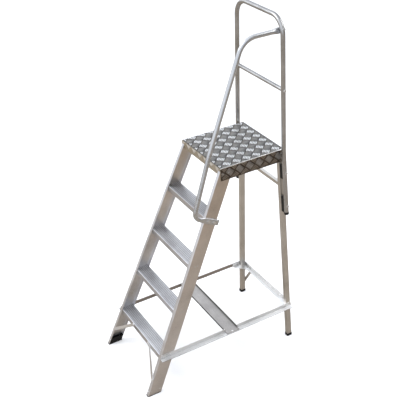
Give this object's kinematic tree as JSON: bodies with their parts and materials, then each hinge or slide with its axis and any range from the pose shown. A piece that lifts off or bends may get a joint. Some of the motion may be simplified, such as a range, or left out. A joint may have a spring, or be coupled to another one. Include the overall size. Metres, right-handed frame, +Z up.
{
  "type": "platform step ladder",
  "caption": "Rigid free-standing aluminium ladder with flat treads, a chequer-plate platform, a tubular guard behind it and one side handrail.",
  "frame": {"origin": "on the floor, under the middle of the bounding box", "axes": "+Z up; +Y from the front treads towards the guarded rear; +X towards the side with the handrail, the climber's right"},
  "size_m": [0.5748, 0.984, 1.9845],
  "materials": {
    "stile_aluminium": "mill finish extrusion, faint lengthwise drawing lines",
    "tread_aluminium": "mill finish extrusion, bright rib crests",
    "chequer_aluminium": "rolled five-bar chequer pattern, worn bright crests",
    "leg_aluminium": "mill finish tube",
    "angle_aluminium": "mill finish angle",
    "gusset_aluminium": "mill finish sheet",
    "channel_aluminium": "mill finish channel, slightly scuffed",
    "brace_aluminium": "mill finish flat bar",
    "frame_aluminium": "mill finish, sheltered under the deck and treads",
    "guard_tube_aluminium": "mill finish round tube",
    "handrail_aluminium": "mill finish round tube, polished by hands",
    "rivet_aluminium": "bright domed rivet heads",
    "flush_rivet_aluminium": "rivet heads dressed flush",
    "zinc_steel": "zinc plated steel, dull",
    "black_plastic": "moulded black plastic, fine grain"
  },
  "bodies": {
    "root": {"corner_gusset_left": "gusset_aluminium", "corner_gusset_right": "gusset_aluminium", "corner_gusset_rivets": "rivet_aluminium", "cross_channel": "channel_aluminium", "cross_channel_rivets": "rivet_aluminium", "crossbar_rivets": "rivet_aluminium", "deck_stiffener_front": "frame_aluminium", "deck_stiffener_middle": "frame_aluminium", "deck_stiffener_rear": "frame_aluminium", "front_brace_rivets": "rivet_aluminium", "front_foot_left": "black_plastic", "front_foot_right": "black_plastic", "front_foot_rivets": "rivet_aluminium", "front_knee_brace_left": "brace_aluminium", "front_knee_brace_right": "brace_aluminium", "front_stile_left": "stile_aluminium", "front_stile_right": "stile_aluminium", "guard_bolts": "zinc_steel", "guard_end_cap_left": "black_plastic", "guard_end_cap_right": "black_plastic", "guard_frame": "guard_tube_aluminium", "guard_nuts": "zinc_steel", "guard_spacers": "black_plastic", "handrail": "handrail_aluminium", "handrail_bolts": "zinc_steel", "handrail_end_plugs": "black_plastic", "handrail_nuts": "zinc_steel", "lower_rear_crossbar": "angle_aluminium", "mid_rail": "guard_tube_aluminium", "mid_rail_bolts": "zinc_steel", "mid_rail_inserts": "zinc_steel", "platform": "chequer_aluminium", "platform_rivets": "flush_rivet_aluminium", "rear_brace_rivets": "rivet_aluminium", "rear_foot_left": "black_plastic", "rear_foot_right": "black_plastic", "rear_knee_brace_left": "brace_aluminium", "rear_knee_brace_right": "brace_aluminium", "rear_leg_left": "leg_aluminium", "rear_leg_right": "leg_aluminium", "side_bar_bolts": "zinc_steel", "side_bar_left": "angle_aluminium", "side_bar_nuts": "zinc_steel", "side_bar_right": "angle_aluminium", "side_bar_rivets": "rivet_aluminium", "tread_1": "tread_aluminium", "tread_2": "tread_aluminium", "tread_3": "tread_aluminium", "tread_4": "tread_aluminium", "tread_brackets": "frame_aluminium", "tread_rivets": "flush_rivet_aluminium", "tread_seat_rivets": "rivet_aluminium", "upper_rear_crossbar": "leg_aluminium"}
  },
  "joints": []
}
